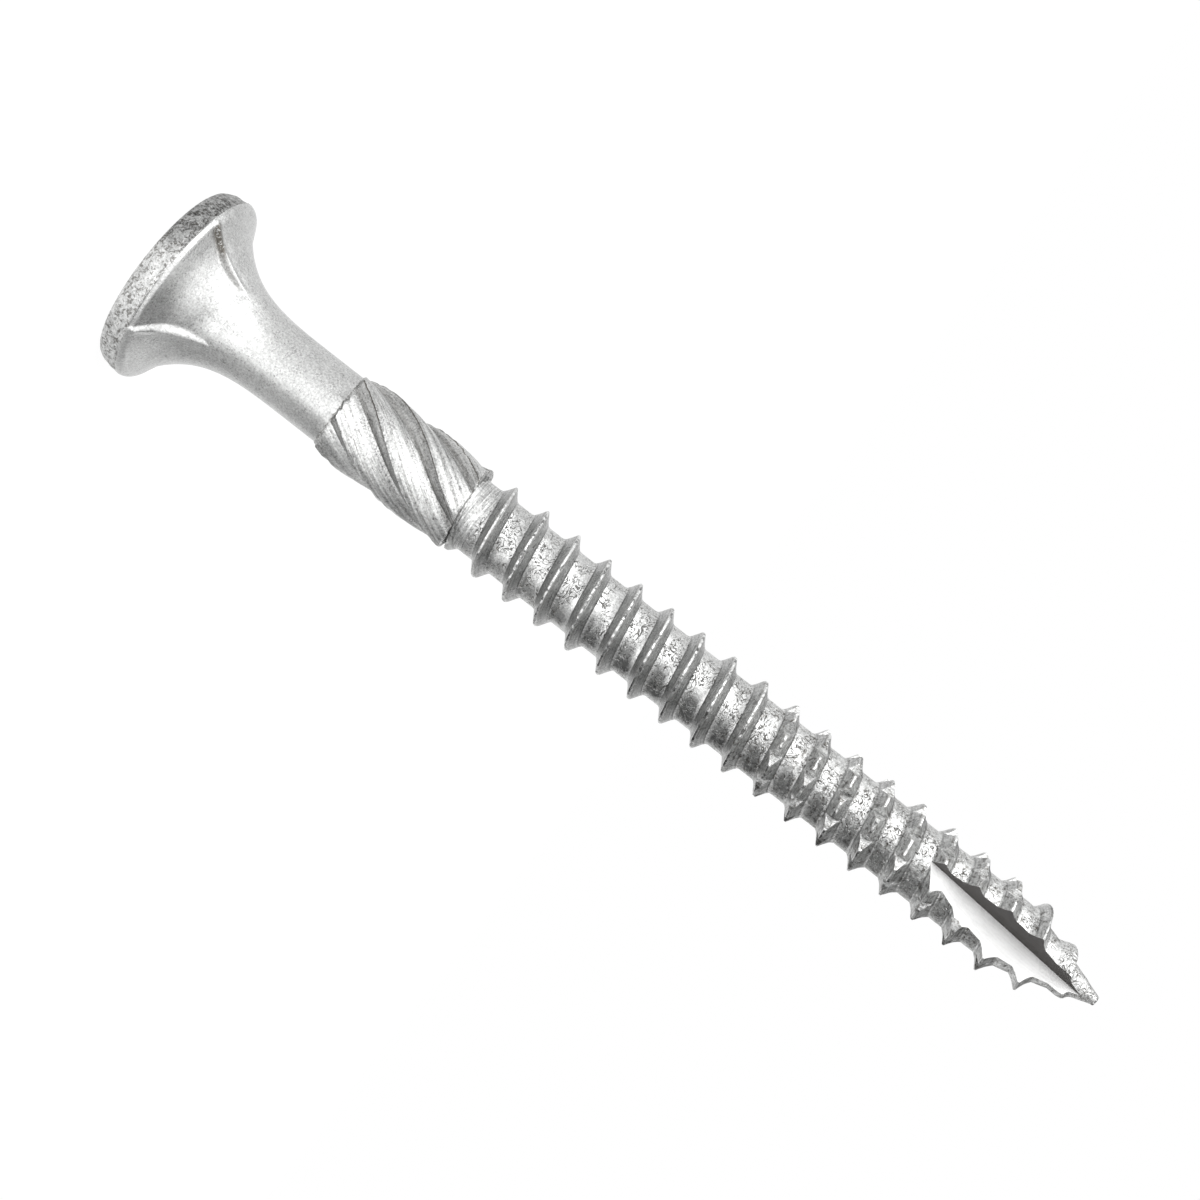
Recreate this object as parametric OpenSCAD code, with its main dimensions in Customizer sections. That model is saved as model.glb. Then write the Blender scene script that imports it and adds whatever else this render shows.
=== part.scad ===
// Batten screw with a bugle head, four nibs, a fluted shank and a serrated
// coarse thread that ends in a slotted point. It stands on the flat of its
// head, with the point up: z = 0 is the flat, and z = length is the point.

/* [Overall] */
// Length from the flat of the head to the point
length = 75; // [70:1:100]

/* [Head] */
// Largest diameter of the head, at the rim
head_d = 13.8; // [12.5:0.1:15]
// Height of the rim's widest line above the flat
rim_z = 1.55; // [1:0.05:1.8]
// How far the edge of the flat is set in from the rim
rim_inset = 0.6; // [0.3:0.05:1]
// How far the rim curls in underneath, where the flare starts
under_inset = 0.95; // [0.6:0.05:1.3]
// Height at which the flare starts
under_z = 2.35; // [2.2:0.05:2.8]
// Height at which the flare has run out into the shank
flare_z = 13; // [10:0.1:13.5]
// How sharply the flare turns in below the rim
flare_power = 4.35; // [3:0.05:5]

/* [Hex socket] */
// Width of the socket across its flats
socket_af = 5; // [4:0.1:6]
// Depth of the straight walls of the socket
socket_depth = 3.4; // [2.5:0.1:4]
// Width of the lead-in round the mouth of the socket
socket_lead = 0.25; // [0.1:0.05:0.4]

/* [Nibs] */
// Angle between the two nibs on either side of the head
nib_spread = 79; // [60:1:120]
// Turn of the two pairs of nibs away from the slot's side
nib_turn = -3; // [-30:1:30]
// Width of a nib at its widest
nib_w = 1.3; // [1:0.1:2]
// Height at which a nib leaves the rim
nib_z = 1.6; // [1.6:0.05:1.9]
// Height at which a nib has run out into the flare
nib_end_z = 5.6; // [5:0.1:7]
// How far the crest of a nib dips below a straight line
nib_dip = 0.26; // [0:0.02:0.3]

/* [Shank] */
// Diameter of the plain shank
shank_d = 5.14; // [4.9:0.02:5.3]

/* [Flutes] */
// Number of helical flutes
flute_count = 6; // [4:1:8]
// Diameter over the edges of the flutes
flute_d = 6.16; // [6:0.02:6.5]
// Depth of the grooves between the flutes
flute_depth = 0.46; // [0.3:0.02:0.5]
// Height at which the flutes start
flute_z = 14.2; // [14.2:0.1:16]
// Length of the fluted stretch
flute_len = 10.2; // [8:0.1:11]
// Axial length of one full turn of a flute
flute_lead = 26.4; // [22:0.2:40]
// Turn of the first flute's edge where the flutes start
flute_turn = 148.8; // [0:0.2:360]

/* [Thread] */
// Diameter over the crest of the thread
thread_d = 6.3; // [6:0.02:6.5]
// Diameter of the core between the turns
core_d = 4.66; // [4.4:0.02:4.8]
// Axial distance from one turn to the next
pitch = 2.512; // [2.3:0.002:2.8]
// Width of the thread where it meets the core
thread_base = 1.24; // [1:0.02:1.5]
// Width of the thread's blunt crest
thread_crest = 0.24; // [0.1:0.02:0.4]
// Height of the crest where the thread crosses the +X side for the first time
thread_z = 25.134; // [25:0.002:26.5]
// Part of a turn over which the thread rises from the core
run_in = 0.5; // [0.3:0.05:1]

/* [Serrations] */
// Angle along the thread from one notch to the next
notch_step = 39.1; // [34:0.1:48]
// Half of the angle that a notch takes up
notch_half = 11.5; // [9:0.1:15]
// Part of the thread's height that a notch takes away
notch_cut = 0.72; // [0.3:0.02:0.8]
// Distance of the first notch from the point
notch_from = 26; // [15:0.5:35]
// Distance of the last notch from the point
notch_to = 6; // [6:0.5:12]

/* [Point] */
// Length of the tapered end
point_len = 7; // [6:0.1:9]
// Radius of the blunt point
point_r = 0.3; // [0.2:0.02:0.5]
// Distance from the point at which the thread starts to close in
close_in = 7; // [6:0.1:8]

/* [Slot] */
// Radius of the curve along which the slot dips in and out
slot_r = 20; // [16:0.5:40]
// Distance of the slot's deepest place from the point
slot_from = 5; // [4:0.1:7]
// Distance of the slot's corner from the axis at its deepest place
slot_floor = 0.22; // [0.1:0.02:0.6]
// Slant of the slot's corner to the axis
slot_skew = 4.2; // [0:0.1:8]
// Lean of the slot's broad wall from the plane of its corner
slot_broad = 51; // [35:1:55]
// Lean of the slot's narrow wall from the plane of its corner
slot_narrow = 23; // [15:1:35]

/* [Hidden] */

head_r = head_d / 2;
flat_r = head_r - rim_inset;
under_r = head_r - under_inset;
shank_r = shank_d / 2;
socket_r = socket_af / 2 / cos(30);

flute_r = flute_d / 2;
groove_r = max(flute_r - flute_depth, shank_r + 0.04);
flute_end = flute_z + flute_len;
flute_rise = 0.45;
flute_fall = 0.3;

core_r = core_d / 2;
thread_r = thread_d / 2;
taper_z = length - point_len;
close_z = length - close_in;
close_len = close_in - 0.8;
close_r = 0.45;
close_lean = 1.5;

// Small lengths by which one shape reaches into the next
seat = 0.4;
over = 1;

// The thread is laid out in columns round the axis
columns = 45;
column_a = 360 / columns;
foot_z = flute_end - seat;
first_z = thread_z - pitch * ceil((thread_z + thread_base - foot_z + pitch) / pitch);
turns = ceil((length - first_z) / pitch) + 1;
profile = [-thread_base / 2, -thread_crest / 2, thread_crest / 2, thread_base / 2];
stations = len(profile) * turns;

// Points of a quarter ellipse from [r0, z0], level, to [r1, z1], upright
function level_to_upright(r0, z0, r1, z1, n) =
    [for (i = [0:n]) let (a = 90 * i / n) [r0 + (r1 - r0) * sin(a), z1 + (z0 - z1) * cos(a)]];

// Points of a quarter ellipse from [r0, z0], upright, to [r1, z1], level
function upright_to_level(r0, z0, r1, z1, n) =
    [for (i = [1:n]) let (a = 90 * i / n) [r1 + (r0 - r1) * cos(a), z0 + (z1 - z0) * sin(a)]];

// Radius of the flare at height z
function flare_at(z) =
    shank_r + (under_r - shank_r) * pow(max(0, 1 - (z - under_z) / (flare_z - under_z)), flare_power);

// Radius of the fluted section at the part t of the way from one edge to the
// next: a steep face falls behind the edge, and a hollow face climbs to the next
function flute_at(t) =
    groove_r + (flute_r - groove_r) * lookup(t, [[0, 1], [0.28, 0], [0.5, 0.2], [0.75, 0.6], [0.9, 0.95], [1, 1]]);

// Radius of the core at height z, closing in an ogive to the point
function core_at(z) =
    let (u = max(0, (z - taper_z) / point_len))
    point_r + (core_r - point_r) * (1 - pow(min(1, u), 1.2));

// Radius of the crest at height z, before any notch
function crest_at(z) =
    let (v = max(0, (z - close_z) / close_len))
    max(core_at(z), close_r + (thread_r - close_r) * (1 - pow(min(1, v), 1.8)));

// Share of the full height that the thread has where its crest is at height z
function rise_at(z) =
    let (z0 = thread_z - 0.27 * pitch)
    max(0, min(1, (z - z0) / (run_in * pitch)));

// Depth of the nearest notch, from 0 to 1, at the angle psi along the thread
function notch_at(psi, z) =
    let (n = round(psi / notch_step), c = column_a * round(n * notch_step / column_a))
    z < length - notch_from || z > length - notch_to ? 0 : max(0, 1 - abs(psi - c) / notch_half);

// Height of the crest in column i of turn k
function helix_z(i, k) = first_z + pitch * (k + i / columns);

// How far the crest leans towards the point at height z
function lean_at(z) =
    close_lean * (crest_at(z) - core_at(z)) * pow(max(0, min(1, (z - close_z) / close_len)), 2);

// Height of station m of column i
function station_z(i, m) =
    let (j = m % len(profile), zc = helix_z(i, floor(m / len(profile))))
    zc + profile[j] + (j == 0 || j == len(profile) - 1 ? 0 : lean_at(zc));

// Radius of the thread at station m of column i
function station_r(i, m) =
    let (k = floor(m / len(profile)), j = m % len(profile), z = station_z(i, m), zc = helix_z(i, k))
    let (full = crest_at(z) - core_at(z))
    let (psi = column_a * (i + columns * k) - notch_turn)
    j == 0 || j == len(profile) - 1
        ? core_at(z)
        : core_at(z) + full * rise_at(zc) * (1 - notch_cut * notch_at(psi, zc));

// Angle along the thread of the notch from which the others are counted
notch_turn = 617 * column_a;

function ring(r, z, n) = [for (i = [0:n - 1]) [r * cos(i * 360 / n), r * sin(i * 360 / n), z]];

// Two triangles for the four corners of a patch, without those that have no area
function patch(a, b, c, d) =
    [for (t = [[a, c, b], [a, d, c]]) if (t[0] != t[1] && t[1] != t[2] && t[0] != t[2]) t];

// Head, flare and plain shank, as one turned blank
module blank() {
    flare_n = 14;
    rim = level_to_upright(flat_r, 0, head_r, rim_z, 6);
    curl = upright_to_level(head_r, rim_z, under_r, under_z, 5);
    flare = [for (i = [1:flare_n]) let (t = pow(i / flare_n, 1.4), z = under_z + (flare_z - under_z) * t) [flare_at(z), z]];
    rotate_extrude($fn = 96)
        polygon(concat([[0, 0]], rim, curl, flare, [[shank_r, flute_z + over], [0, flute_z + over]]));
}

// Hex socket in the flat of the head, with a lead-in and a drilled bottom
module socket() {
    lead_r = socket_r + socket_lead;
    lead_end_r = socket_af / 2 - 0.1;
    translate([0, 0, -over])
        cylinder(r = socket_r, h = socket_depth + over, $fn = 6);
    translate([0, 0, socket_depth - 0.01])
        cylinder(r1 = socket_af / 2 - 0.1, r2 = 0.2, h = 1.2, $fn = 48);
    translate([0, 0, -over])
        cylinder(r1 = lead_r + over, r2 = lead_end_r, h = lead_r - lead_end_r + over, $fn = 64);
}

// One nib: a narrow ridge that bridges the hollow of the flare, widest in the
// middle, with a crest that runs from the rim to the flare
module nib() {
    n = 6;
    depth = 0.5;
    r0 = head_r - 0.03;
    r1 = flare_at(nib_end_z) - 0.04;
    sections = [for (i = [0:n])
        let (t = i / n, z = nib_z + (nib_end_z - nib_z) * t, crest = r0 + (r1 - r0) * t - nib_dip * sin(180 * t))
        let (foot = min(crest, flare_at(z)) - depth, w = nib_w / 2 * (0.25 + 0.75 * sin(180 * pow(t, 0.8))))
        [[crest, 0, z], [foot, -w, z], [foot, w, z]]];
    points = [for (section = sections) each section];
    sides = [for (i = [0:n - 1], j = [0:2])
        each patch(3 * i + j, 3 * i + (j + 2) % 3, 3 * i + 3 + (j + 2) % 3, 3 * i + 3 + j)];
    polyhedron(points, concat(sides, [[0, 1, 2]], [[3 * n + 2, 3 * n + 1, 3 * n]]));
}

// Fluted stretch of the shank: a section with saw-tooth edges, turned as it rises
module flutes() {
    parts = [0, 0.28, 0.5, 0.75, 0.9];
    n = flute_count * len(parts);
    rows = 12;
    foot_in = 0.1;
    body_z0 = flute_z + flute_rise;
    body_z1 = flute_end - flute_fall;
    heights = concat([flute_z - foot_in], [for (i = [0:rows]) body_z0 + (body_z1 - body_z0) * i / rows], [flute_end]);
    spots = [for (k = [0:flute_count - 1], t = parts) k + t];
    last = len(heights) - 1;
    points = [for (h = [0:last], k = spots)
        let (t = 360 * k / flute_count + flute_turn + 360 * (heights[h] - flute_z) / flute_lead)
        let (full = flute_at(k % 1))
        let (r = h == 0 ? shank_r - foot_in : h == last ? min(full, groove_r + 0.22) : full)
        [r * cos(t), r * sin(t), heights[h]]];
    sides = [for (h = [0:last - 1], i = [0:n - 1])
        each patch(h * n + i, h * n + (i + 1) % n, (h + 1) * n + (i + 1) % n, (h + 1) * n + i)];
    low = [for (i = [0:n - 1]) i];
    top = [for (i = [0:n - 1]) last * n + n - 1 - i];
    polyhedron(points, concat(sides, [low], [top]));
}

// Core and thread as one skin: four stations a turn follow the thread's foot
// and crest round the columns, and end at the foot's and the point's rings
module thread() {
    function at(i, m) =
        i == columns ? at(0, m + len(profile)) :
        m >= stations || station_z(i, m) >= length ? columns + i :
        station_z(i, m) <= foot_z ? i :
        2 * columns + i * stations + m;
    skin = [for (i = [0:columns - 1], m = [0:stations - 1])
        let (r = station_r(i, m), a = i * column_a)
        [r * cos(a), r * sin(a), station_z(i, m)]];
    points = concat(ring(core_r, foot_z, columns), ring(point_r, length, columns), skin);
    sides = [for (i = [0:columns - 1], m = [0:stations - 2])
        each patch(at(i, m), at(i + 1, m), at(i + 1, m + 1), at(i, m + 1))];
    low = [for (i = [0:columns - 1]) i];
    top = [for (i = [0:columns - 1]) 2 * columns - 1 - i];
    polyhedron(points, concat(sides, [low], [top]));
}

// Slot in the point, as the edge of a turned disc would cut it
module slot() {
    reach = 5;
    translate([0.06, -slot_r - slot_floor, length - slot_from])
        rotate([0, 90 + slot_skew, 0])
            rotate_extrude($fn = 180)
                polygon([
                    [slot_r, 0],
                    [slot_r - reach, reach * tan(slot_broad)],
                    [slot_r - reach, -reach * tan(slot_narrow)]
                ]);
}

// The screw: one forged and rolled piece
module batten_screw() {
    color("silver")
        difference() {
            union() {
                blank();
                for (side = [90, 270], half = [-1, 1])
                    rotate([0, 0, side + nib_turn + half * nib_spread / 2])
                        nib();
                flutes();
                thread();
            }
            socket();
            slot();
        }
}

batten_screw();
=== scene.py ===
import math

import bpy
import numpy as np
from mathutils import Matrix, Vector


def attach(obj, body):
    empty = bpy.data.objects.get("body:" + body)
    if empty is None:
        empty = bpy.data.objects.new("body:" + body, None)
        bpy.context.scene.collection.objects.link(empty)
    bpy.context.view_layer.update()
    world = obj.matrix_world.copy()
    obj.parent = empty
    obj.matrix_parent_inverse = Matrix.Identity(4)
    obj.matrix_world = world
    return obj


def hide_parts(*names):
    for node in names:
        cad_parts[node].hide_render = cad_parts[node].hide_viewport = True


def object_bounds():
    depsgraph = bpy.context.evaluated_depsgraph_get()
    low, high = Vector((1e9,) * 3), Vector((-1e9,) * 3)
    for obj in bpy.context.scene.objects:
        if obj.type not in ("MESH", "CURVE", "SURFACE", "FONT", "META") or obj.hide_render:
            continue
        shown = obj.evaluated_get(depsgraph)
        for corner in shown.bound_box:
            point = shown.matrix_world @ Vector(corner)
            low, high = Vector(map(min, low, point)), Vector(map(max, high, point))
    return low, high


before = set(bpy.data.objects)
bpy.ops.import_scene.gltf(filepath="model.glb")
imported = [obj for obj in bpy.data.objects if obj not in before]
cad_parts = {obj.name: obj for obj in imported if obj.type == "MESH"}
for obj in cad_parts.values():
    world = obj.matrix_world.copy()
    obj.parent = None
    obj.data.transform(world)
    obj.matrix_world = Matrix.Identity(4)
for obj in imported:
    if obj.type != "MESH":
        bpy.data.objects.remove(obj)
cad_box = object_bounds()

# The head is upset from steel wire, and a hex socket is sunk into its flat, with a
# drilled centre and a chamfered mouth. All the sizes of the screw are in
# millimetres, with z up from the flat of the head.
MM = 0.001
length = cad_box[1].z / MM
head_r = -cad_box[0].x / MM
columns = 192
column = np.arange(columns)
column_step = 360 / columns
even_columns = 360 * column / columns

socket_flat_r = 2.5
socket_depth = 3.4
socket_lead = 0.25
socket_corner = 60
floor_share = 0.985
floor_round = 0.05
lead_round = 0.02
mouth_round = 0.03
drill_depth = 1.2
drill_tip_r = 0.2
drill_half_r = socket_flat_r * 0.55
drill_mouth_r = socket_flat_r * 0.96


def rings(angle, r, z):
    """Points of a stack of rings, one row a ring: x = r cos(angle), y = r sin(angle), and z."""
    angle, r, z = np.broadcast_arrays(np.radians(angle), r, z)
    return np.stack([r * np.cos(angle), r * np.sin(angle), z], axis=-1)


hex_angle = (even_columns + socket_corner / 2) % socket_corner - socket_corner / 2
hex_r = socket_flat_r / np.cos(np.radians(socket_corner / 2 - np.abs(hex_angle)))
mouth_r = hex_r.max() + socket_lead
lead_depth = mouth_r - hex_r
socket_rows = [
    (drill_tip_r, socket_depth + drill_depth),
    (drill_half_r, socket_depth + drill_depth * 0.5),
    (drill_mouth_r, socket_depth),
    (hex_r * floor_share, socket_depth),
    (hex_r, socket_depth - floor_round),
    (hex_r, socket_depth * 0.5),
    (hex_r, lead_depth + lead_round),
    (hex_r + lead_round, lead_depth),
    (mouth_r - mouth_round, mouth_round),
    (mouth_r + mouth_round, 0.0),
]
socket = np.stack([rings(even_columns, r, z) for r, z in socket_rows])

# Under the rim the head is a bugle flare, which runs down into the plain shank.
# The corner between the rim and the flare is filled by a small cone.
rim_z = 1.55
under_r = head_r - 0.95
under_z = 2.35
flare_end_z = 13.0
flare_power = 4.35
shank_r = 2.57
fillet_z, fillet_r = 2.27, 6.36
fillet_end_z, fillet_end_r = 2.75, 5.46


def flare_at(z):
    """Radius of the flare: it falls from rim to shank as a power of the height that is left."""
    left = np.clip(1 - (z - under_z) / (flare_end_z - under_z), 0, 1)
    return shank_r + (under_r - shank_r) * left**flare_power


def underside_at(z):
    """Radius under the rim: a quarter ellipse from the lip to the flare, and then the flare.

    The cone in the corner between them stands out wherever it is the larger."""
    s = np.clip((z - rim_z) / (under_z - rim_z), 0, 1)
    curl = under_r + (head_r - under_r) * np.sqrt(1 - s * s)
    fillet_span = [fillet_z, fillet_end_z]
    fillet = np.interp(z, fillet_span, [fillet_r, fillet_end_r], left=0, right=0)
    return np.maximum(np.where(z < under_z, curl, flare_at(z)), fillet)


# Four nibs stand under the rim in two pairs, as narrow ribs pressed by the heading
# die. Between the nibs of a pair the underside is set back, so that each nib has
# one broad face towards its fellow and a short slope on its other side.
nib_middles = [87, 267]
nib_half_spread = 39.5
nib_z = 1.6
nib_end_z = 5.7
nib_set_back = 0.24
nib_stand = 0.21
nib_rise = 0.7
nib_slope = 0.3
nib_face_least = 0.14
nib_face_more = 0.52
bevel_r = head_r - 0.2
bevel_z = 1.93
cone_r = 5.72
cone_z = 2.45
cone_fade = 0.8
nib_face_angle = 8
nib_face_columns = 9

nib_angles = np.array([m + side * nib_half_spread for m in nib_middles for side in (-1, 1)])
nib_columns = np.round(nib_angles / 360 * columns)
beside = np.array([-1, 0, 1])
known_columns = (nib_columns[:, None] + nib_face_columns * beside).ravel()
known_angles = (nib_angles[:, None] + nib_face_angle * beside).ravel()
head_columns = np.interp(
    column,
    np.concatenate([known_columns - columns, known_columns, known_columns + columns]),
    np.concatenate([known_angles - 360, known_angles, known_angles + 360]),
)


def smooth_step(t):
    """0 up to t = 0, 1 from t = 1, and 3t^2 - 2t^3 between."""
    t = np.clip(t, 0, 1)
    return t * t * (3 - 2 * t)


def nib_lens(z):
    """Share of a nib's size at a height: the sine of a half turn times t^0.8, along the nib."""
    t = np.clip((z - nib_z) / (nib_end_z - nib_z), 0, 1)
    return np.sin(math.pi * t**0.8)


def set_back_at(z):
    """Radius of the flare between the nibs of a pair, set back by a power of the lens."""
    return flare_at(z) - nib_set_back * nib_lens(z) ** 0.8


def pressed_at(z):
    """Radius between the nibs of a pair: a bevel, a cone, and then the flare that is set back.

    The step from the cone to the flare fades as the square of the height that is left."""
    lip_and_cone = np.interp(z, [rim_z, bevel_z, cone_z], [head_r, bevel_r, cone_r])
    cone_step = cone_r - set_back_at(cone_z)
    fade = np.clip(1 - (z - cone_z) / cone_fade, 0, 1) ** 2
    return np.where(z < cone_z, lip_and_cone, set_back_at(z) + cone_step * fade)


def nib_shift(angle, r, z):
    """How far the nibs shift the underside: outwards on a crest, inwards between a pair."""
    lens = nib_lens(z)
    face = nib_face_least + nib_face_more * lens
    ridge = nib_stand * lens**0.9 * smooth_step((z - nib_z) / nib_rise)
    shift = 0
    for middle in nib_middles:
        away = (angle - middle + 180) % 360 - 180
        outside = (np.abs(away) - nib_half_spread) * math.pi / 180 * r
        inner = smooth_step(-outside / face)
        outer = np.clip(1 - outside / nib_slope, 0, 1)
        stand = ridge * np.where(outside < 0, 1 - inner, outer)
        shift = shift + stand + (pressed_at(z) - r) * inner
    return shift


# The flat, the rim and the lip are left as the die forged them: the rim is rough, and
# its lip is sharp and uneven. The rows run out over them and then down the underside.
flat_r = head_r - 0.6
rim_dent = 0.035
lip_inset = 0.05
lip_high = 0.04
lip_dent = 0.03
bevel_round = 0.02
flare_rows_end_z = nib_end_z + 0.4


def unevenness(angle, z, seed, around, along, waves=14):
    """Smooth unevenness between about -1 and 1: a sum of waves in the angle and the height.

    Each wave runs a whole number of times round, up to around, and up to along times a
    millimetre."""
    draw = np.random.default_rng(seed)
    total = 0
    for _ in range(waves):
        turns = draw.integers(-around, around + 1)
        rate = draw.uniform(-along, along)
        phase = draw.uniform(0, 2 * math.pi)
        total = total + np.sin(turns * np.radians(angle) + 2 * math.pi * rate * z + phase)
    return total / math.sqrt(waves)


flat_rows = np.linspace(0, 1, 8)[1:, None]
flat_columns = even_columns + (head_columns - even_columns) * flat_rows
head_flat = rings(flat_columns, mouth_r + (flat_r - mouth_r) * flat_rows, 0)

rim_turn = np.linspace(0, math.pi / 2, 12)[1:, None]
rim_height = rim_z * (1 - np.cos(rim_turn))
rim_wear = unevenness(head_columns, rim_height, 3, 30, 1.5)
rim_out = head_r - lip_inset - flat_r
rim_r = flat_r + rim_out * np.sin(rim_turn) + rim_dent * rim_wear * np.sin(rim_turn)
rim = rings(head_columns, np.minimum(rim_r, head_r), rim_height)

lip_wear = 0.5 + 0.5 * unevenness(head_columns, 0, 5, 40, 0)
lip_z = rim_z + lip_high + lip_dent * lip_wear
lip_edge = rings(head_columns, head_r - lip_dent * np.clip(lip_wear, 0, 1), lip_z)[None]

bevel_rows = [1.67, 1.75, 1.84, bevel_z - bevel_round, bevel_z + bevel_round]
curl_rows = [2.02, 2.09, 2.16, 2.22, fillet_z, under_z]
curl_z = np.array([*bevel_rows, *curl_rows])[:, None]
flare_way = np.linspace(0, 1, 27)[1:, None] ** 1.15
flare_z = under_z + (flare_rows_end_z - under_z) * flare_way
under_rows = np.concatenate([curl_z, flare_z])
under_base = underside_at(under_rows)
under_shift = nib_shift(head_columns, under_base, under_rows)
underside = rings(head_columns, under_base + under_shift, under_rows)

# The shank is the plain wire. Above it six flutes are rolled into the wire at a
# steep lead: each has a steep face behind its edge, a broad face that climbs to a
# crease, and a worn land that broadens as it nears the thread.
flute_count = 6
flute_r = 3.08
groove_r = 2.5
flute_z = 14.2
flute_end_z = 24.42
flute_lead = 26.4
flute_turn = 148.8
flute_groove = 0.25
crease_height = 0.84
land_least = 0.08
land_more = 0.2
land_z = 15.5
land_long = 5
flute_rise = 0.2
flute_dent = 0.007
edge_dent = 0.06
edge_narrow = 7
start_late = 0.12
start_skew = 0.35
start_jag = 0.07
start_steps = [0.04, 0.1, 0.16, 0.22, 0.4]
long_from = 0.6
long_to = 0.25
end_step = 0.1
end_cut_back = [0.06, 0.28]
end_late = 0.2
end_skew = 0.28
end_skew_angle = 345
end_jag = 0.035
lift_z = 22.5
burr_angle = 182
burr_spread = 24
burr_long = 0.36
burr_cut = 1.5
core_r = 2.33
core_foot = 0.04
foot_step = 0.06
foot_z = 24.58

flute_columns = flute_turn + even_columns
too_far = (flute_columns - head_columns).mean()
flute_columns = flute_columns - column_step * np.round(too_far / column_step)

start_wear = unevenness(flute_columns, 0, 13, 60, 0)
start_tilt = start_skew * np.sin(np.radians(flute_columns))
start_z = flute_z + start_late - start_tilt + start_jag * start_wear
start_turn = 360 * (start_z - flute_z) / flute_lead

neck_rows = np.linspace(0, 1, 14)[1:, None]
neck_z = flare_z[-1] + (start_z - flare_z[-1]) * neck_rows
neck_turn = (flute_columns + start_turn - head_columns) * smooth_step(neck_rows)
neck = rings(head_columns + neck_turn, flare_at(neck_z), neck_z)


def flute_height(part, z):
    """Height of the fluted section, from 0 in the groove to 1 on an edge.

    part runs from one edge to the next: a steep face down to the groove, a broad face that
    climbs to a crease, and a worn land from the crease to the next edge, all straight."""
    land = land_least + land_more * smooth_step((z - land_z) / land_long)
    crease = 1 - land
    steep = 1 - part / flute_groove
    broad = crease_height * (part - flute_groove) / (crease - flute_groove)
    worn = crease_height + (1 - crease_height) * (part - crease) / land
    return np.where(part < flute_groove, steep, np.where(part < crease, broad, worn))


start_rows = start_z + np.array(start_steps)[:, None]
long_way = flute_end_z - long_to - start_z - long_from
long_rows = start_z + long_from + long_way * np.linspace(0, 1, 41)[:, None]
end_rows = flute_end_z + np.array([-end_step, 0])[:, None] + 0 * start_z
flute_rows = np.concatenate([start_rows, long_rows, end_rows])
twist = 360 * (flute_rows - flute_z) / flute_lead

flute_part = ((flute_columns - flute_turn) * flute_count / 360) % 1
flute_parts = columns // flute_count
even_part = np.round(flute_part * flute_parts) / flute_parts % 1
flute_full = groove_r + (flute_r - groove_r) * flute_height(even_part, flute_rows)
flute_wear = unevenness(flute_columns, flute_rows, 11, 60, 0.9, 24)
near_edge = smooth_step(1 - edge_narrow * np.minimum(flute_part, 1 - flute_part))
dents = np.clip(unevenness(flute_columns, flute_rows, 19, 30, 1.6, 24), 0, 1.5)
flute_full = flute_full + flute_dent * flute_wear - edge_dent * dents * near_edge
start = smooth_step((flute_rows - start_z) / flute_rise)

# The flutes end in a ragged shoulder, with a burr that the rolling pushed up on one
# side. Below the shoulder the blank drops to the core of the thread.
foot_turn = 360 * (foot_z - flute_z) / flute_lead
foot_columns = flute_columns + foot_turn
from_burr = (foot_columns - burr_angle + 180) % 360 - 180
burr = np.exp(-((from_burr / burr_spread) ** 2))
cut_back = np.zeros((len(flute_rows), 1))
cut_back[-len(end_cut_back):, 0] = end_cut_back
flutes_r = shank_r + (flute_full - shank_r) * start * (1 - cut_back * (1 + burr_cut * burr))
end_wear = unevenness(foot_columns, 0, 17, 50, 0)
end_tilt = end_late + end_skew * np.cos(np.radians(foot_columns - end_skew_angle))
foot_lift = burr_long * burr + end_tilt + end_jag * end_wear
lifted = flute_rows + foot_lift * smooth_step((flute_rows - lift_z) / (flute_end_z - lift_z))
flutes = rings(flute_columns + twist, flutes_r, lifted)

thread_foot_z = foot_z + foot_lift
foot_r = np.array([[core_r + core_foot], [core_r]])
foot_rows = np.stack([flute_end_z + foot_step + foot_lift, thread_foot_z])
thread_foot = rings(foot_columns, foot_r, foot_rows)

# The coarse thread is rolled from the core. Its crest is narrow and blunt, its roots
# are rounded, and the turns near the point are serrated: notches across the crest at
# even steps, each with a steep face and a long ramp. It closes in at the point.
thread_r = 3.15
pitch = 2.512
thread_z = 25.134
crest_half = 0.06
crest_dent = 0.02
worn_above = 0.3
flank_width = 0.5
flank_end = 0.74
flank_stations = np.array([1, 0.74, 0.48, 0.23, 0])
root_station = 1.0
root_bend = 0.41
point_bend = 0.21
bend_z, bend_end_z = 50, 61
point_len = 7.0
point_r = 0.3
close_len = 6.2
close_r = 0.45
close_lean = 1.5
notch_step = 39.08
notch_phase = 4216.0
notch_half = 11.5
notch_sides = np.array([-0.45, 0, 1.4])
notch_cut = 0.8
notch_from = length - 26
notch_to = length - 6
helix_r = 3
square_reach = 0.7
foot_gap = 0.01
point_gap = 0.02


def core_at(z):
    """Radius of the core, which closes to the blunt point as a power of the way along the taper."""
    u = np.clip((z - (length - point_len)) / point_len, 0, 1)
    return point_r + (core_r - point_r) * (1 - u**1.2)


def closing_at(z):
    """How far the crest has closed in: 0 where the taper starts, and 1 after close_len."""
    return np.clip((z - (length - point_len)) / close_len, 0, 1)


def crest_at(z):
    """Radius of the crest, which closes as a power of its own way, and stays outside the core."""
    return np.maximum(core_at(z), close_r + (thread_r - close_r) * (1 - closing_at(z) ** 1.8))


def rise_at(z):
    """Share of its height that the thread has where it leaves the core, by turns from its start."""
    return np.interp((z - thread_z) / pitch, [-0.27, -0.1, 0.2, 0.5, 1.3], [0, 0.45, 0.84, 0.93, 1])


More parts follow.
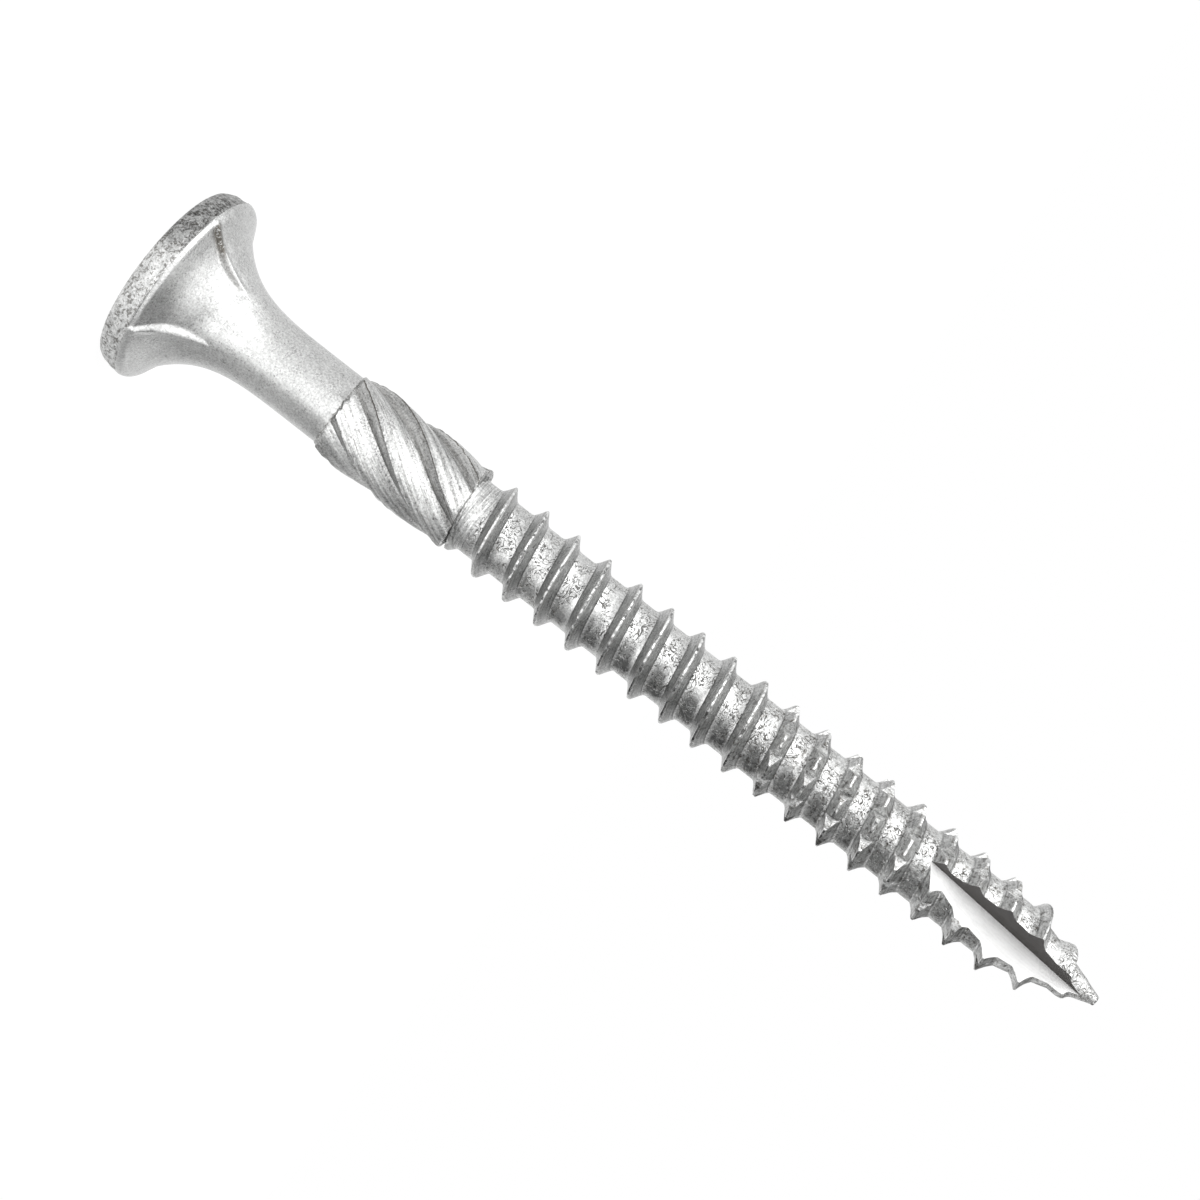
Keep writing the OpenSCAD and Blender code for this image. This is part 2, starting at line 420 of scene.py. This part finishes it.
def flank_height(a, bend=root_bend):
    """Height of the thread's profile at the distance a from its middle.

    It is a straight flank up to bend, and from there a square curve that runs out in the root."""
    straight = 1 - (a - crest_half) / flank_width
    at_bend = 1 - (bend - crest_half) / flank_width
    root = at_bend * np.clip(1 - (a - bend) / (2 * at_bend * flank_width), 0, 1) ** 2
    return np.where(a < bend, straight, root)


def flank_place(height):
    """Distance from the middle at which the profile has that height: flank_height reversed."""
    a = np.linspace(crest_half, flank_end, 200)
    return np.interp(-height, -flank_height(a), a)


first_turn = math.floor((thread_foot_z.min() - thread_z) / pitch - foot_columns[0] / 360) - 1
turns = math.ceil((length - thread_foot_z.min()) / pitch) + 3
side = len(flank_stations)
stations = 2 * side + 4
helix_turn = (foot_columns / 360)[:, None] + first_turn + np.arange(turns)
crest_z = thread_z + pitch * helix_turn
shape = crest_z.shape
psi = (360 * helix_turn - notch_phase).ravel(order="F")

# Each notch is a little off its place, its width and its depth. The columns next to a
# notch are moved onto its edges, so that its faces stay straight and sharp.
draw = np.random.default_rng(8)
notch_count = int((psi.max() - psi.min()) / notch_step) + 2
notch_number = np.arange(notch_count) + math.floor(psi.min() / notch_step)
notch_middle = notch_number * notch_step + draw.uniform(-1, 1, notch_count)
notch_width = notch_half * draw.uniform(0.9, 1.15, notch_count)
notch_deep = notch_cut * draw.uniform(0.85, 1.1, notch_count)

edges = (notch_middle[:, None] + notch_width[:, None] * notch_sides).ravel()
edge_column = np.round((edges - psi[0]) / column_step)
edge_off = edges - (psi[0] + column_step * edge_column)
snapped = np.interp(np.arange(len(psi)), edge_column, edge_off)
snapped_psi = psi + snapped
nearest = np.round((snapped_psi - notch_middle[0]) / notch_step).astype(int)
nearest = np.clip(nearest, 0, notch_count - 1)
from_notch = (snapped_psi - notch_middle[nearest]) / notch_width[nearest]
inside_notch = np.interp(from_notch, notch_sides, [0, 1, 0])
crest_line = crest_z.ravel(order="F")
serrated = (crest_line > notch_from) & (crest_line < notch_to)
notch = np.where(serrated, inside_notch * notch_deep[nearest], 0).reshape(shape, order="F")
snap = np.where(serrated, snapped, 0).reshape(shape, order="F")
crest_wear = crest_dent * unevenness(psi, 0, 21, 60, 0) - crest_dent
crest_wear = crest_wear.reshape(shape, order="F")

top_half = flank_place(1 - notch)[..., None]
flank = top_half + (flank_end - top_half) * flank_stations
middle = np.zeros(shape + (1,))
root = np.full(shape + (1,), root_station)
half_turn = middle - pitch / 2
place = np.concatenate([half_turn, -root, -flank, middle, flank[..., ::-1], root], axis=-1)
up_flank = np.linspace(0.6, 1, side)
outward = np.concatenate([[0, 0.2], up_flank, [1], np.linspace(1, 0.6, side), [0.2]])
bend = np.interp(crest_z, [bend_z, bend_end_z], [root_bend, point_bend])[..., None]
height = flank_height(np.maximum(np.abs(place), crest_half), bend)
height = np.minimum(height, 1 - notch[..., None])
height = np.where(np.abs(place) >= flank_end, 0, height)
share = np.clip(height, 0, 1) * rise_at(crest_z)[..., None]
share = share * (1 + np.where(share > worn_above, crest_wear[..., None], 0))

full = crest_at(crest_z) - core_at(crest_z)
lean = close_lean * full * closing_at(crest_z) ** 2
station_z = crest_z[..., None] + place + lean[..., None] * share
station_r = core_at(station_z) + (crest_at(station_z) - core_at(station_z)) * share
helix_slope = pitch / (2 * math.pi * helix_r)
across = -np.degrees(np.clip(place, -square_reach, square_reach) * helix_slope / helix_r)
station_a = foot_columns[:, None, None] + (snap[..., None] + across) * outward

flat_count = turns * stations
station_z = station_z.reshape(columns, flat_count)
station_r = station_r.reshape(columns, flat_count)
station_a = station_a.reshape(columns, flat_count)
below = station_z <= thread_foot_z[:, None] + foot_gap
above = station_z >= length - point_gap

# Socket, head, shank, flutes and thread are one skin, as the screw is one piece of
# wire. What the thread has below its foot or above the point is drawn in to them.
body_rows = np.concatenate(
    [socket, head_flat, rim, lip_edge, underside, neck, flutes, thread_foot]
)
body_points = body_rows.reshape(-1, 3)
row_count = len(body_rows)
foot_index = (row_count - 1) * columns + column
skin_points = rings(station_a, station_r, station_z).reshape(-1, 3)
point_ring = rings(foot_columns, point_r, length)
drill_centre = [[0, 0, socket_depth + drill_depth]]
point_centre = [[0, 0, length]]
points = np.concatenate([body_points, skin_points, point_ring, drill_centre, point_centre])
skin_start = len(body_points)
ring_start = skin_start + len(skin_points)
drill_index = ring_start + columns
point_index = drill_index + 1

skin_index = skin_start + np.arange(columns * flat_count).reshape(columns, flat_count)
skin_index = np.where(above, ring_start + column[:, None], skin_index)
skin_index = np.where(below, foot_index[:, None], skin_index)
last_turn = np.repeat(skin_index[:1, -1:], stations, axis=1)
wrapped = np.concatenate([skin_index[:1, stations:], last_turn], axis=1)
skin_index = np.concatenate([skin_index, wrapped])


def grid_triangles(a, b, c, d):
    """Two triangles for each four corners of a grid, without those that have lost their area."""
    halves = [np.stack([a, b, c], -1).reshape(-1, 3), np.stack([a, c, d], -1).reshape(-1, 3)]
    found = np.concatenate(halves)
    p, q, s = found.T
    return found[(p != q) & (q != s) & (p != s)]


grid = np.arange(row_count * columns).reshape(row_count, columns)
onward = np.roll(grid, -1, axis=1)
body_faces = grid_triangles(grid[:-1], onward[:-1], onward[1:], grid[1:])
here, after = skin_index[:-1], skin_index[1:]
skin_faces = grid_triangles(here[:, :-1], after[:, :-1], after[:, 1:], here[:, 1:])
next_column = np.roll(column, -1)
drill_faces = np.stack([np.full(columns, drill_index), next_column, column], -1)
point_corner = np.full(columns, point_index)
point_faces = np.stack([ring_start + column, ring_start + next_column, point_corner], -1)
faces = np.concatenate([body_faces, skin_faces, drill_faces, point_faces])
used, faces = np.unique(faces, return_inverse=True)
faces = faces.reshape(-1, 3)
points = points[used]


def new_mesh(name, points, faces):
    """Mesh object at the origin from points in millimetres and lists of corners."""
    mesh = bpy.data.meshes.new(name)
    corners = [list(map(int, face)) for face in faces]
    mesh.from_pydata((np.asarray(points) * MM).tolist(), [], corners)
    mesh.update()
    made = bpy.data.objects.new(name, mesh)
    bpy.context.scene.collection.objects.link(made)
    return made


screw = new_mesh("batten_screw_skin", points, faces)

# The zinc coat is hot dipped: a pale metal skin with fine grain, dark curled marks on
# the core, streaks in the flutes and a rough, speckled rim. Painted shade darkens the
# flutes' grooves, edges and creases, the thread's flanks, roots and crest edges, the
# foot, one side of the rim and one nib's corner; painted highlight lightens the rim's
# middle and patches of the crest. Heights and radii below are where each of these
# begins and is full.
zinc_colour = (0.56, 0.563, 0.558)
dirt_and_shade_colour = (0.12, 0.112, 0.1)
zinc_relief = 0.06
zinc_relief_strength = 0.8


class Value:
    """A number on its way through a material: arithmetic on it adds Math nodes."""

    def __init__(self, tree, socket):
        self.tree, self.socket = tree, socket

    def node(self, kind, settings=None, **inputs):
        """New node of that kind: settings are made first, then sockets filled by name or _number."""
        made = self.tree.nodes.new("ShaderNode" + kind)
        for key, value in (settings or {}).items():
            setattr(made, key, value)
        for key, value in inputs.items():
            to = made.inputs[int(key[1:]) if key[0] == "_" else key.replace("__", " ")]
            if isinstance(value, Value):
                self.tree.links.new(value.socket, to)
            else:
                to.default_value = value
        return made

    def out(self, kind, settings=None, output=0, **inputs):
        """Like node, and returns one of its outputs as a Value."""
        return Value(self.tree, self.node(kind, settings, **inputs).outputs[output])

    def maths(self, operation, *others):
        """Math node on this value and then the others."""
        given = {f"_{i}": value for i, value in enumerate((self, *others))}
        return self.out("Math", {"operation": operation}, **given)

    def __add__(self, other):
        return self.maths("ADD", other)

    def __sub__(self, other):
        return self.maths("SUBTRACT", other)

    def __rsub__(self, other):
        return self.out("Math", {"operation": "SUBTRACT"}, _0=other, _1=self)

    def __mul__(self, other):
        return self.maths("MULTIPLY", other)

    def __truediv__(self, other):
        return self.maths("DIVIDE", other)

    __radd__ = __add__
    __rmul__ = __mul__

    def between(self, low, high):
        """0 below low, 1 above high, and a smooth step between."""
        settings = {"interpolation_type": "SMOOTHSTEP", "clamp": True}
        return self.out("MapRange", settings, Value=self, From__Min=low, From__Max=high)

    def line(self, level, half_width):
        """1 at the level, and a smooth fall to 0 at half_width on both sides of it."""
        return 1 - (self - level).maths("ABSOLUTE").between(0.0, half_width)


def new_material(name):
    """Material with one Principled shader. Returns it, its shader, and its place in millimetres."""
    material = bpy.data.materials.new(name)
    material.use_nodes = True
    tree = material.node_tree
    shader = tree.nodes["Principled BSDF"]
    place = Value(tree, tree.nodes.new("ShaderNodeTexCoord").outputs["Object"])
    millimetres = place.out("VectorMath", {"operation": "SCALE"}, _0=place, Scale=1 / MM)
    return material, shader, millimetres


def zinc_coat():
    """Hot dipped zinc: a tone from noises, weighted by masks of height, radius and angle.

    tone scales the colour of the zinc and also carries painted highlight and painted shade;
    dirt_and_shade is the share of the dark colour over it, for dirt and for painted shade."""
    material, shader, place = new_material("hot_dipped_zinc")
    tree = material.node_tree
    apart = place.node("SeparateXYZ", _0=place)
    x, y, z = (Value(tree, s) for s in apart.outputs)
    flat = place.out("CombineXYZ", None, _0=x, _1=y)
    r = place.out("VectorMath", {"operation": "LENGTH"}, output="Value", _0=flat)
    azimuth = y.maths("ARCTAN2", x) * (180 / math.pi)

    def noise(scale, detail=3.0, rough=0.55, twist=0.0, at=place):
        """Noise with that many lumps a millimetre, around 0.5."""
        sockets = dict(Scale=scale, Detail=detail, Roughness=rough, Distortion=twist)
        return place.out("TexNoise", None, Vector=at, **sockets)

    def stretched(at, *rates):
        """The place with x, y and z each times its own rate."""
        return place.out("VectorMath", {"operation": "MULTIPLY"}, _0=at, _1=rates)

    def scaled(colour, amount):
        """The colour times the amount."""
        return place.out("VectorMath", {"operation": "SCALE"}, _0=colour, Scale=amount)

    # Noises of the coat: even ones, and ones drawn out along the flutes and the rolling.
    untwist = (z - flute_z) * (-2 * math.pi / flute_lead)
    unwound = place.out("VectorRotate", {"rotation_type": "Z_AXIS"}, Vector=place, Angle=untwist)
    by_flank = place.out("CombineXYZ", None, _0=12 * r, _1=0.9 * x, _2=0.9 * z)
    grain = noise(7.5, 4.0, 0.7)
    cloud = noise(0.5, 3.0, 0.5)
    mottle = noise(1.8, 4.0, 0.62, 0.6)
    curls = noise(1.3, 1.2, 0.5, 3.0)
    patches = noise(1.1, 1.0, 0.5)
    specks = noise(5.0, 3.0, 0.65)
    blots = noise(2.6, 4.0, 0.7, 0.8)
    streaks = noise(2.8, 5.0, 0.62, 0.3, at=stretched(unwound, 1, 1, 0.07))
    turned = noise(3.0, 3.0, 0.6, 0.0, at=stretched(place, 0.2, 0.2, 3.4))
    rolled = noise(1.0, 4.0, 0.7, 0.0, at=by_flank)
    broken = mottle.between(0.42, 0.52)

    # Parts of the screw, by height and radius. The flutes start and end askew.
    begun = z + (start_skew / shank_r) * y
    end_x = end_skew / core_r * math.cos(math.radians(end_skew_angle))
    end_y = end_skew / core_r * math.sin(math.radians(end_skew_angle))
    ended = z - end_x * x - end_y * y
    on_rim = (1 - z.between(1.62, 1.7)) * r.between(5.9, 6.3)
    on_blank = 1 - z.between(24.4, 24.6)
    on_flutes = begun.between(14.3, 14.5) * (1 - ended.between(24.6, 24.7))
    on_thread = ended.between(24.64, 24.74)
    on_foot = on_thread * (1 - z.between(26.0, 26.6)) * (1 - r.between(2.4, 2.5))
    on_core = on_thread * (1 - r.between(2.37, 2.46)) * z.between(25.9, 26.3)
    on_root = on_thread * r.line(2.44, 0.07)
    on_flank = on_thread * r.between(2.38, 2.5) * (1 - r.between(2.96, 3.05))
    # A band just under the crest, which gets painted shade along the crest's edges.
    crest_edge_shade = on_thread * r.between(2.92, 2.97) * (1 - r.between(3.04, 3.08))
    on_crest = on_thread * r.between(3.09, 3.12)
    on_end = z.between(43.0, 48.0)

    # Rim: painted shade on one side, with a blotched edge, and in the middle a painted sheen with
    # fewer specks. One nib has painted shade in its corner and down beside it.
    rim_side_shade = on_rim * (1 - (azimuth + 30 * (blots - 0.5)).between(-116, -98))
    rim_middle_sheen = on_rim * azimuth.between(-112, -96) * (1 - azimuth.between(-66, -44))
    rim_specks = (specks + 0.7 * (blots - 0.5)).between(0.53, 0.59)
    rim_dark = rim_specks * on_rim * (1 - 0.1 * rim_middle_sheen)
    rim_light = (1 - blots.between(0.42, 0.52)) * on_rim
    nib_angle = nib_angles[2] - 360
    nib_top = z.between(1.9, 2.1)
    # Painted shade in the corner of one nib and down beside it.
    corner = azimuth.line(nib_angle + 1.5, 5.0) * nib_top * (1 - z.between(2.9, 3.6))
    nib_corner_shade = corner * specks.between(0.36, 0.48)
    shade = azimuth.line(nib_angle + 4.0, 4.5) * nib_top * (1 - z.between(4.8, 5.6))
    pits = specks.between(0.62, 0.7) * on_blank * (1 - on_rim)

    # Flutes: painted shade on edge and crease and in the groove, and dark lines at both ends.
    apart = place.node("SeparateXYZ", _0=unwound)
    across, ahead = (Value(tree, s) for s in apart.outputs[:2])
    flute_angle = ahead.maths("ARCTAN2", across) / (2 * math.pi) - flute_turn / 360
    flute_part = (flute_count * flute_angle + 0.05 * (specks - 0.5)).maths("FRACT")
    edge_and_crease_shade = flute_part.line(0.012, 0.025) + 0.5 * flute_part.line(0.76, 0.02)
    groove = 1 - flute_part.between(0.24, 0.27)
    groove_shade = (0.2 + 0.25 * flute_part.line(0.22, 0.1)) * groove
    start_line = (begun + 0.3 * (specks - 0.5)).line(14.33, 0.07)
    end_line = (ended + 0.15 * (specks - 0.5)).line(24.63, 0.06)
    scratches = streaks.line(0.47, 0.012) * on_flutes

    # Thread: curled marks on the core, blots near the point, and the notches' faces.
    marks = curls.line(0.5, 0.04) * patches.between(0.4, 0.52) * on_core
    end_dark = blots.between(0.55, 0.62) * on_end
    end_light = (1 - blots.between(0.38, 0.46)) * on_end
    turn = (z - thread_z) / pitch - azimuth / 360
    notch_place = (azimuth + 360 * turn.maths("ROUND") - notch_phase) / notch_step + 0.5
    from_notch = (notch_place.maths("FRACT") - 0.5) * (notch_step / notch_half)
    steep_face = 1 - from_notch / notch_sides[0]
    long_ramp = 1 - from_notch / notch_sides[2]
    notch_share = steep_face.maths("MINIMUM", long_ramp)
    notch_r = thread_r - notch_cut * (thread_r - core_r) * notch_share
    in_notch = notch_share.between(0.04, 0.1) * (r - notch_r).between(-0.12, -0.06)
    in_notch = in_notch * z.between(notch_from - 0.4, notch_from - 0.2)
    in_notch = in_notch * (1 - z.between(notch_to, notch_to + 0.4))

    tone = 1 + (1.7 + 0.3 * on_thread) * (grain - 0.5) + 0.3 * (cloud - 0.5)
    tone = tone + (0.4 + 0.2 * on_thread) * (mottle - 0.5) - 0.07 * on_blank
    tone = tone + (2.0 * (streaks - 0.53) + 0.6 * (grain - 0.5)) * on_flutes
    # The foot is painted a little darker, as painted shade, under its turned streaks.
    tone = tone + (2.0 * (turned - 0.5) - 0.12) * on_foot
    tone = tone + 1.8 * (rolled - 0.5) * on_flank
    # The crest breaks into darker gaps and brighter patches, the bright ones a painted highlight;
    # notch faces are lighter.
    tone = tone + (0.8 * broken - 0.5) * on_crest * (1 - in_notch) + 0.35 * in_notch
    tone = tone + 0.3 * end_light - 0.3 * pits
    # The rim's middle is painted lighter, as painted highlight, and one side painted darker, as
    # painted shade.
    tone = tone + 0.3 * rim_light + 0.25 * rim_middle_sheen - 0.34 * rim_side_shade - 0.14 * on_rim
    # The flanks, and the roots in mottled patches, are painted darker, as painted shade.
    tone = tone * (1 - (0.31 - 0.06 * on_end) * on_flank)
    tone = tone * (1 - 0.42 * on_root * mottle.between(0.36, 0.52))
    # The share of the dark colour: marks, specks, blots and scratches, and also painted shade in the
    # nib's corner, under the crest, along the flutes' edges and creases and in their grooves.
    dirt_and_shade = 0.85 * marks + 0.75 * rim_dark + 0.7 * end_dark + 0.6 * scratches
    dirt_and_shade = dirt_and_shade + 0.9 * nib_corner_shade + 0.4 * shade + 0.45 * crest_edge_shade * broken
    dirt_and_shade = dirt_and_shade + (0.85 * edge_and_crease_shade * streaks.between(0.36, 0.5) + groove_shade) * on_flutes
    dirt_and_shade = dirt_and_shade + 0.8 * (start_line + end_line) * r.between(2.4, 2.5) * specks.between(0.42, 0.5)
    coat = scaled(zinc_colour, tone)
    dark = scaled(dirt_and_shade_colour, tone)
    colour = place.out("Mix", {"data_type": "RGBA"}, output=2, _0=dirt_and_shade, _6=coat, _7=dark)
    tree.links.new(colour.socket, shader.inputs["Base Color"])

    rough = 0.17 + 0.14 * mottle + 0.1 * grain + 0.14 * on_rim
    rough = rough + 0.1 * specks.between(0.54, 0.64) * on_thread
    tree.links.new(rough.socket, shader.inputs["Roughness"])
    shader.inputs["Metallic"].default_value = 1.0

    relief = 0.4 * grain * (1 - 0.2 * on_thread) + 0.6 * mottle * (0.4 + 0.2 * on_thread)
    relief = relief - 1.6 * marks + 0.8 * rolled * on_flank + 0.8 * blots * on_end
    relief = relief + 1.2 * specks * (on_rim + 0.3 * on_end)
    relief = relief + 1.3 * streaks * on_flutes + 0.8 * turned * on_foot
    depth = zinc_relief * MM
    bump = place.out("Bump", None, Height=relief, Strength=zinc_relief_strength, Distance=depth)
    tree.links.new(bump.socket, shader.inputs["Normal"])
    return material


screw.data.materials.append(zinc_coat())

# The point is cut by the edge of a disc-shaped mill, after the rolling: a slot with
# one broad wall and one narrow wall, which meet in a corner close to the axis. Both
# walls are the same steel: the broad one is painted near white, as painted light, and
# the narrow one near black, as painted shade.
slot_r = 20.0
slot_middle_z = length - 5
slot_floor = 0.22
slot_skew = 4.2
slot_broad = 51
slot_narrow = 23
slot_side = 0.06
slot_reach = 5.0
slot_arc = 34
slot_steps = 300
wall_relief = 0.02
wall_relief_strength = 0.35
sharp_edge = 28


def slot_tool():
    """Closed wedge: the triangle of the mill's edge, carried round an arc of its rim.

    Returns its points, its three walls as lists of faces, and the faces of its two ends."""
    inner = slot_r - slot_reach
    broad = slot_reach * math.tan(math.radians(slot_broad))
    narrow = slot_reach * math.tan(math.radians(slot_narrow))
    edge_r, edge_side = np.array([[slot_r, 0], [inner, broad], [inner, -narrow]]).T
    arc = np.radians(90 + np.linspace(-slot_arc, slot_arc, slot_steps))[:, None]
    ring = np.stack([edge_r * np.cos(arc), edge_r * np.sin(arc), edge_side + 0 * arc], axis=-1)
    turn_over = np.array(Matrix.Rotation(math.radians(90 + slot_skew), 3, "Y"))
    place = np.array([slot_side, -slot_r - slot_floor, slot_middle_z])
    points = ring.reshape(-1, 3) @ turn_over.T + place
    row = np.arange(slot_steps - 1)[:, None] * 3
    walls = []
    for a, b in ((0, 1), (1, 2), (2, 0)):
        wall = np.stack([row + a, row + 3 + a, row + 3 + b, row + b], axis=-1)
        walls.append(wall.reshape(-1, 4))
    last = 3 * (slot_steps - 1)
    return points, walls, [[0, 1, 2], [last + 2, last + 1, last]]


def slot_wall(name, colour, metal, rough):
    """Milled wall of the slot: smooth, with faint streaks along the cut from drawn-out noise."""
    material, shader, place = new_material(name)
    tree = material.node_tree
    along = place.out("VectorMath", {"operation": "MULTIPLY"}, _0=place, _1=(4.0, 4.0, 0.5))
    streak = place.out("TexNoise", None, Vector=along, Scale=1.6, Detail=3.0)
    fine = place.out("TexNoise", None, Vector=place, Scale=8.0, Detail=2.0)
    tone = 0.8 + 0.28 * streak + 0.12 * fine
    tinted = place.out("VectorMath", {"operation": "SCALE"}, _0=colour, Scale=tone)
    tree.links.new(tinted.socket, shader.inputs["Base Color"])
    tree.links.new((rough + 0.12 * streak).socket, shader.inputs["Roughness"])
    shader.inputs["Metallic"].default_value = metal
    relief = streak + 0.4 * fine
    depth = wall_relief * MM
    bump = place.out("Bump", None, Height=relief, Strength=wall_relief_strength, Distance=depth)
    tree.links.new(bump.socket, shader.inputs["Normal"])
    return material


tool_points, tool_walls, tool_ends = slot_tool()
tool_faces = [face for wall in (*tool_walls, tool_ends) for face in wall]
slot_cutter = new_mesh("slot_cutter", tool_points, tool_faces)
# The broad wall is painted near white as painted light, and the narrow one near black as painted
# shade.
painted_lit_wall = slot_wall("slot_broad_wall", (0.97, 0.97, 0.965), 0.0, 0.5)
painted_shaded_wall = slot_wall("slot_narrow_wall", (0.055, 0.05, 0.047), 0.3, 0.4)
for wall in (painted_lit_wall, painted_shaded_wall):
    screw.data.materials.append(wall)
    slot_cutter.data.materials.append(wall)
wall_counts = [len(wall) for wall in (*tool_walls, tool_ends)]
wall_kind = np.repeat([0, 0, 1, 0], wall_counts).astype(np.int32)
slot_cutter.data.polygons.foreach_set("material_index", wall_kind)

cut = screw.modifiers.new("slot", "BOOLEAN")
cut.operation = "DIFFERENCE"
cut.solver = "MANIFOLD"
cut.material_mode = "TRANSFER"
cut.object = slot_cutter
ready = screw.evaluated_get(bpy.context.evaluated_depsgraph_get())
slotted = bpy.data.meshes.new_from_object(ready)
screw.modifiers.remove(cut)
screw.data = slotted
bpy.data.objects.remove(slot_cutter)
slotted.name = "batten_screw_skin"
slotted.shade_smooth()
slotted.set_sharp_from_angle(angle=math.radians(sharp_edge))

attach(screw, "root")
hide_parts("batten_screw")

# The stage is a plain pale floor under the head and a white surround. Camera,
# glossy and transmission rays see them as white, and the floor keeps a soft shadow.
floor_half = 3000.0
floor_grey = 0.9
floor_glow = 1.1
shadow_share = 0.16
ambient = 0.6


def seen_as_white(tree):
    """1 for the rays of the camera and for mirrored and let-through ones, and 0 for the rest."""
    path = tree.nodes.new("ShaderNodeLightPath").outputs
    seen = Value(tree, path["Is Camera Ray"])
    seen = seen.maths("MAXIMUM", Value(tree, path["Is Glossy Ray"]))
    return seen.maths("MAXIMUM", Value(tree, path["Is Transmission Ray"]))


floor_corners = floor_half * np.array([[-1, -1, 0], [1, -1, 0], [1, 1, 0], [-1, 1, 0]])
floor = new_mesh("floor", floor_corners, [[0, 1, 2, 3]])
floor_paint = bpy.data.materials.new("pale_floor")
floor_paint.use_nodes = True
tree = floor_paint.node_tree
tree.nodes.clear()
seen = seen_as_white(tree)
matt = seen.out("BsdfDiffuse", None, Color=(floor_grey, floor_grey, floor_grey, 1))
white = seen.out("Emission", None, Color=(1, 1, 1, 1), Strength=floor_glow)
mixed = seen.out("MixShader", None, _0=seen * (1 - shadow_share), _1=matt, _2=white)
output = tree.nodes.new("ShaderNodeOutputMaterial")
tree.links.new(mixed.socket, output.inputs["Surface"])
floor.data.materials.append(floor_paint)

world = bpy.data.worlds.new("white_surround")
bpy.context.scene.world = world
world.use_nodes = True
tree = world.node_tree
background = tree.nodes["Background"]
strength = ambient + (1 - ambient) * seen_as_white(tree)
tree.links.new(strength.socket, background.inputs["Strength"])
background.inputs["Color"].default_value = (1, 1, 1, 1)

# The light is two large soft panels on the camera's side. Curved cards give the metal
# something to mirror: white and grey ones close to the head and flutes, a dark one on
# the right, and dim, back, high and top ones above it. The camera sees none of them.


def soft_panel(name, angle, away, z, wide, high, brightness):
    """Area light that faces the middle of the screw, at an angle from its front towards +X.

    brightness is the level at which it shows in a mirror."""
    light = bpy.data.lights.new(name, "AREA")
    light.shape = "RECTANGLE"
    light.size, light.size_y = wide * MM, high * MM
    light.energy = brightness * math.pi * wide * high * MM * MM
    lamp = bpy.data.objects.new(name, light)
    a = math.radians(angle)
    place = Vector((away * math.sin(a), -away * math.cos(a), z))
    aim = Vector((0, 0, length * 0.5)) - place
    turn = aim.to_track_quat("-Z", "Y").to_matrix().to_4x4()
    lamp.matrix_world = Matrix.Translation(place * MM) @ turn
    lamp.visible_camera = False
    bpy.context.scene.collection.objects.link(lamp)


def mirror_card(name, brightness, rows):
    """Curved card round the screw, straight from row to row.

    Each row has its distance, its height and the angles of the card's two edges."""
    across = np.linspace(0, 1, 17)
    away, card_z, start, end = np.array(rows).T[..., None]
    angle = np.radians(start + (end - start) * across)
    points = np.stack([away * np.sin(angle), -away * np.cos(angle), card_z + 0 * angle], axis=-1)
    index = np.arange(angle.size).reshape(angle.shape)
    corners = [index[:-1, :-1], index[:-1, 1:], index[1:, 1:], index[1:, :-1]]
    card = new_mesh(name, points.reshape(-1, 3), np.stack(corners, -1).reshape(-1, 4))
    paint = bpy.data.materials.new(name + "_paint")
    paint.use_nodes = True
    tree = paint.node_tree
    tree.nodes.clear()
    glow = tree.nodes.new("ShaderNodeEmission")
    glow.inputs["Strength"].default_value = brightness
    output = tree.nodes.new("ShaderNodeOutputMaterial")
    tree.links.new(glow.outputs["Emission"], output.inputs["Surface"])
    card.data.materials.append(paint)
    card.visible_camera = False
    card.visible_diffuse = False
    card.visible_shadow = False


soft_panel("key_panel", -55, 210, 150, 330, 240, 1.5)
soft_panel("front_panel", -14, 300, 75, 300, 150, 1.4)
white_rows = [(40, 0.5, -12, 46), (40, 9, -12, 46), (40, 20, -2, 44)]
white_rows = white_rows + [(40, 22, 2, 52), (40, 25, 8, 64), (40, 29, 16, 66)]
mirror_card("white_card", 2.2, white_rows)
grey_rows = [(38, 0.5, 48, 125), (38, 9, 48, 125), (38, 20, 46, 125)]
grey_rows = grey_rows + [(38, 22, 54, 125), (38, 25, 66, 125), (38, 29, 68, 125)]
mirror_card("grey_card", 0.58, grey_rows)
dark_rows = [(110, 1, 38, 120), (145, 26, 20, 124), (170, 43, 2, 134), (250, 100, 0, 146)]
mirror_card("dark_card", 0.05, dark_rows)
mirror_card("dim_card", 0.55, [(250, 100, 30, 115), (170, 245, 40, 120)])
mirror_card("back_card", 0.3, [(90, 85, 148, 212), (90, 240, 148, 212)])
high_rows = [(3, 245, -200, 60), (60, 245, -185, 40), (85, 245, -130, 25), (160, 245, -110, 15)]
mirror_card("high_card", 1.9, high_rows)
mirror_card("top_card", 0.28, [(2, 240, 80, 140), (60, 240, 80, 150), (190, 240, 80, 182)])

# The camera stands a little above the middle of the screw and is rolled, so that
# the point runs to the lower right.
image_size = 1200
focal_pixels = 2600
sensor = 36
camera_tilt = math.radians(3.1)
camera_roll = math.radians(37.98)
camera_away = 165.2
camera_aim = Vector((-0.69, 0, 34.95))

camera_data = bpy.data.cameras.new("camera")
camera_data.sensor_width = sensor
camera_data.lens = sensor * focal_pixels / image_size
camera_data.clip_start = 1 * MM
camera_data.clip_end = 100
camera = bpy.data.objects.new("camera", camera_data)
bpy.context.scene.collection.objects.link(camera)
along = Vector((0, math.sin(camera_tilt), math.cos(camera_tilt)))
sideways = Vector((1, 0, 0))
back = Vector((0, -math.cos(camera_tilt), math.sin(camera_tilt)))
right = along * math.cos(camera_roll) - sideways * math.sin(camera_roll)
up = -along * math.sin(camera_roll) - sideways * math.cos(camera_roll)
turn = Matrix((right, up, back)).transposed().to_4x4()
camera.matrix_world = Matrix.Translation((camera_aim + back * camera_away) * MM) @ turn
bpy.context.scene.camera = camera

bpy.context.scene.view_settings.view_transform = "Standard"
